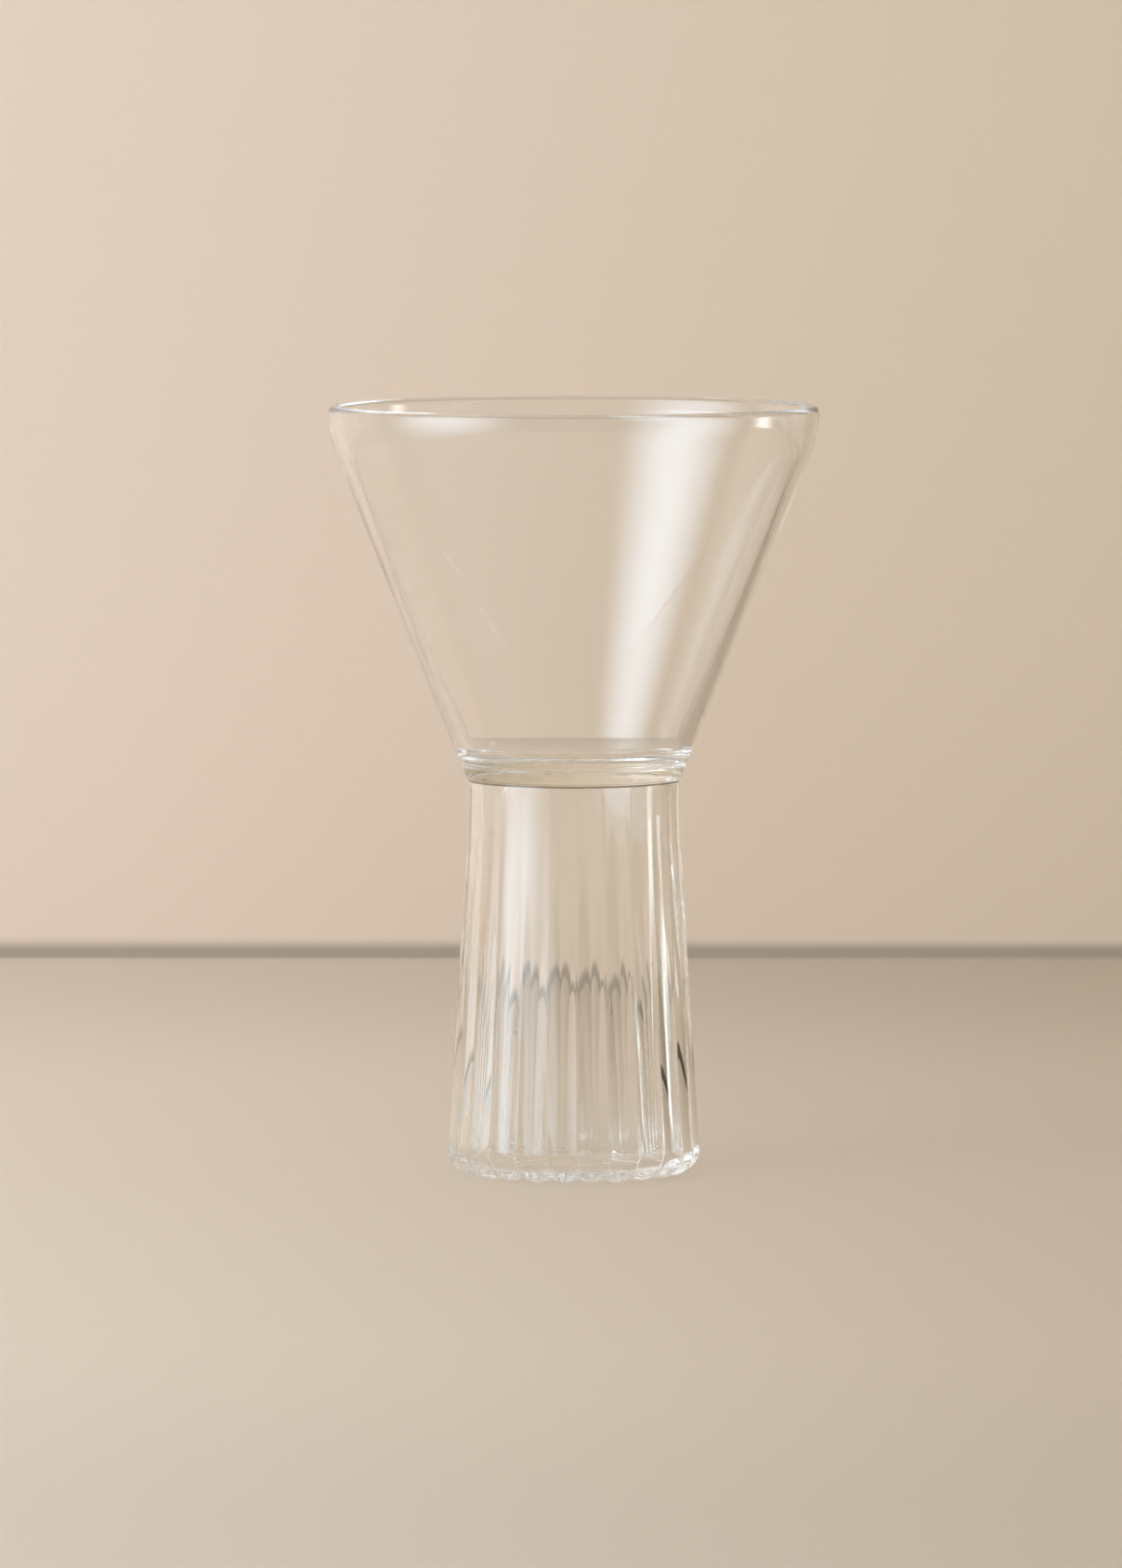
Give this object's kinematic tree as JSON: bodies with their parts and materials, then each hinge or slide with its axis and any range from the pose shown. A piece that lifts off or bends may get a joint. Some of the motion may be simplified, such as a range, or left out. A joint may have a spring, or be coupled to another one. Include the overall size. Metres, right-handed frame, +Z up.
{
  "type": "cocktail glass",
  "caption": "Clear glass drinking vessel: a conical bowl with a closed flat floor, fused through a solid glass disc to a hollow ribbed foot with a rounded base corner.",
  "frame": {"origin": "centre of the ring the glass stands on, on the table", "axes": "+Z up, along the glass's axis of turning; +X to the viewer's right in the reference view; +Y away from the viewer"},
  "size_m": [0.102, 0.102, 0.16],
  "materials": {
    "bowl_glass": "clear, fire polished, smooth",
    "disc_glass": "clear with a faint warm tint, fire polished",
    "seam_glass": "clear, flame fused",
    "foot_glass": "clear, mould ribbed, fire polished"
  },
  "bodies": {
    "root": {"bowl": "bowl_glass", "upper_seam": "seam_glass", "joint_disc": "disc_glass", "lower_seam": "seam_glass", "ribbed_foot": "foot_glass"}
  },
  "joints": []
}
